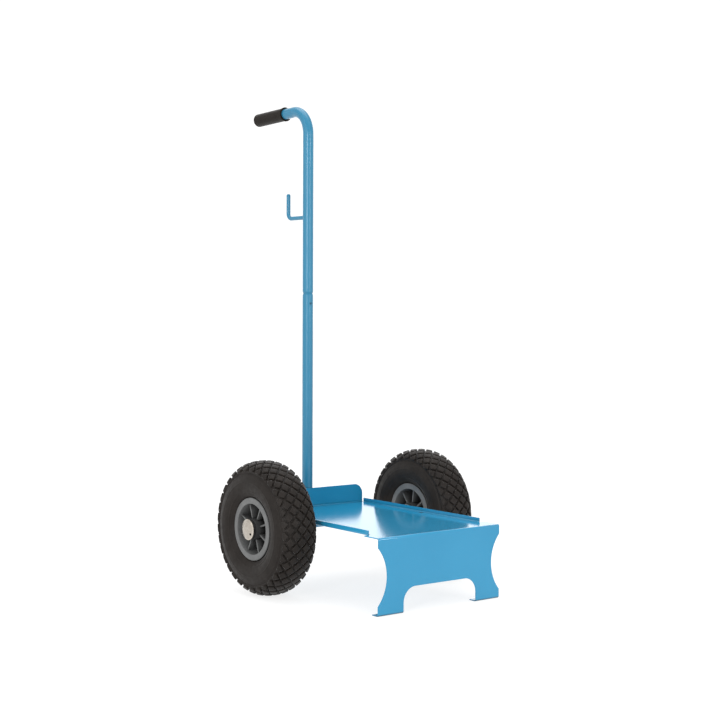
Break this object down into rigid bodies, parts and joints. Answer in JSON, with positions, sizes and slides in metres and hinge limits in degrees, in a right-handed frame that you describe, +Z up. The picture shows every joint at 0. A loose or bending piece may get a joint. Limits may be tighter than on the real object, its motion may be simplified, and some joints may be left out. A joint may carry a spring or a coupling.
{
  "type": "battery cart",
  "caption": "Hand cart for a battery: a folded sheet-steel deck with front legs and low rails, block-tread wheels on an axle, and a bent pole handle with a grip and a cable hook.",
  "frame": {"origin": "on the floor, under the middle of the whole cart's bounding box", "axes": "+Z up, the front panel faces -Y and the grip points to +Y, X along the axle"},
  "size_m": [0.4816, 0.612, 0.9747],
  "materials": {
    "blue_coat": "gloss coat",
    "rim_grey": "satin",
    "tyre_rubber": "matte",
    "grip_black": "satin",
    "bright_zinc": "bright",
    "zinc_steel": "zinc plated",
    "bush_nylon": "matte"
  },
  "bodies": {
    "chassis": {"deck_sheet": "blue_coat", "axle": "blue_coat", "lower_pole": "blue_coat", "handle_tube": "blue_coat", "cable_hook": "blue_coat", "hand_grip": "grip_black", "axle_cheek_left": "blue_coat", "axle_cheek_right": "blue_coat", "stop_collar_left": "zinc_steel", "stop_collar_right": "zinc_steel", "inner_washer_left": "zinc_steel", "inner_washer_right": "zinc_steel", "outer_washer_left": "zinc_steel", "outer_washer_right": "zinc_steel", "hub_cap_left": "bright_zinc", "hub_cap_right": "bright_zinc"},
    "left_wheel": {"tyre_left": "tyre_rubber", "rim_left": "rim_grey", "outer_bush_left": "bush_nylon", "inner_bush_left": "bush_nylon"},
    "right_wheel": {"tyre_right": "tyre_rubber", "rim_right": "rim_grey", "outer_bush_right": "bush_nylon", "inner_bush_right": "bush_nylon"}
  },
  "joints": [
    {"name": "left_wheel_spin", "type": "hinge", "parent": "chassis", "child": "left_wheel", "pos_m": [-0.195, -0.01583, 0.13], "axis": [1, 0, 0], "continuous": true},
    {"name": "right_wheel_spin", "type": "hinge", "parent": "chassis", "child": "right_wheel", "pos_m": [0.195, -0.01583, 0.13], "axis": [1, 0, 0], "continuous": true}
  ]
}
